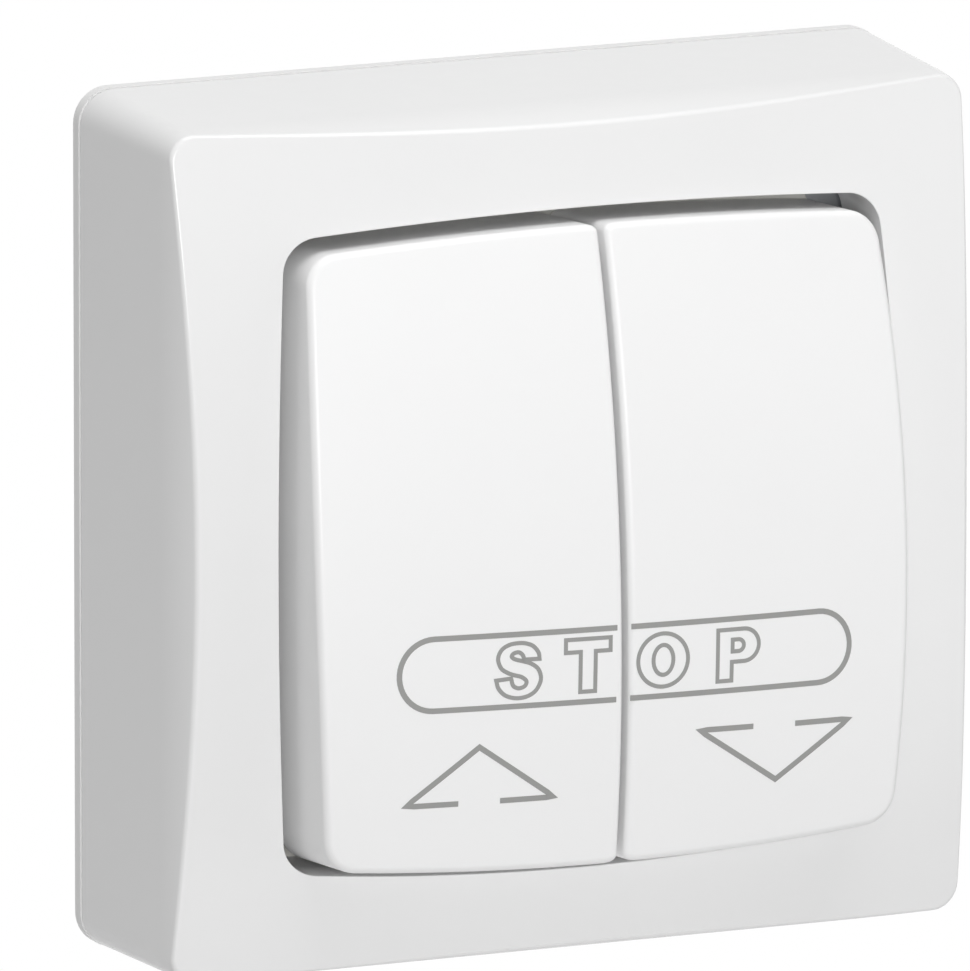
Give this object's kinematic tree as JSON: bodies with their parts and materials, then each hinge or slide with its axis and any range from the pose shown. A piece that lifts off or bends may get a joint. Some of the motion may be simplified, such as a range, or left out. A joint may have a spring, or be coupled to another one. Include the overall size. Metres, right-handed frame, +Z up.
{
  "type": "roller shutter switch",
  "caption": "Square surface mounted switch with two latched rockers side by side that run a roller shutter up or down and stop it",
  "frame": {"origin": "centre of the flat back of the wall base, on the wall surface", "axes": "+Z up; -Y is the front, out of the wall; +Y goes into the wall; +X to the right seen from the front"},
  "size_m": [0.075, 0.0322, 0.075],
  "materials": {
    "wall_base": "white moulded plastic, satin",
    "cover_frame": "white moulded plastic, glossy",
    "left_rocker": "white moulded plastic, glossy",
    "right_rocker": "white moulded plastic, glossy",
    "bearing_plate": "off-white moulded plastic, matt",
    "mechanism_housing": "white thermoset, matt",
    "cradle": "light grey moulded plastic, matt",
    "plunger": "natural nylon",
    "spring": "spring steel wire",
    "brass": "stamped brass",
    "tips": "silver alloy contact",
    "screws": "zinc plated steel"
  },
  "bodies": {
    "base": {"wall_base": "wall_base", "cover_frame": "cover_frame", "bearing_plate": "bearing_plate", "mechanism_housing": "mechanism_housing", "feed_terminal": "brass", "link_strip": "brass", "up_terminal": "brass", "down_terminal": "brass", "fixed_tips": "tips", "terminal_screws": "screws", "plate_screws": "screws"},
    "left_rocker_unit": {"left_rocker": "left_rocker", "left_cradle": "cradle", "left_plunger": "plunger", "left_spring": "spring"},
    "right_rocker_unit": {"right_rocker": "right_rocker", "right_cradle": "cradle", "right_plunger": "plunger", "right_spring": "spring"},
    "left_lever_unit": {"left_contact_lever": "brass", "left_moving_tips": "tips"},
    "right_lever_unit": {"right_contact_lever": "brass", "right_moving_tips": "tips"}
  },
  "joints": [
    {"name": "left_rocker_tip", "type": "hinge", "parent": "base", "child": "left_rocker_unit", "pos_m": [-0.01375, -0.0245, 0], "axis": [1, 0, 0], "range_deg": [0, 9.3]},
    {"name": "right_rocker_tip", "type": "hinge", "parent": "base", "child": "right_rocker_unit", "pos_m": [0.01375, -0.0245, 0], "axis": [1, 0, 0], "range_deg": [0, 9.3]},
    {"name": "left_lever_tip", "type": "hinge", "parent": "base", "child": "left_lever_unit", "pos_m": [-0.01375, -0.00706, 0], "axis": [-1, 0, 0], "range_deg": [0, 16]},
    {"name": "right_lever_tip", "type": "hinge", "parent": "base", "child": "right_lever_unit", "pos_m": [0.01375, -0.00706, 0], "axis": [-1, 0, 0], "range_deg": [0, 16]}
  ],
  "couplings": [
    {"joint": "left_lever_tip", "follows": "left_rocker_tip", "ratio": 1.72},
    {"joint": "right_lever_tip", "follows": "right_rocker_tip", "ratio": 1.72}
  ]
}
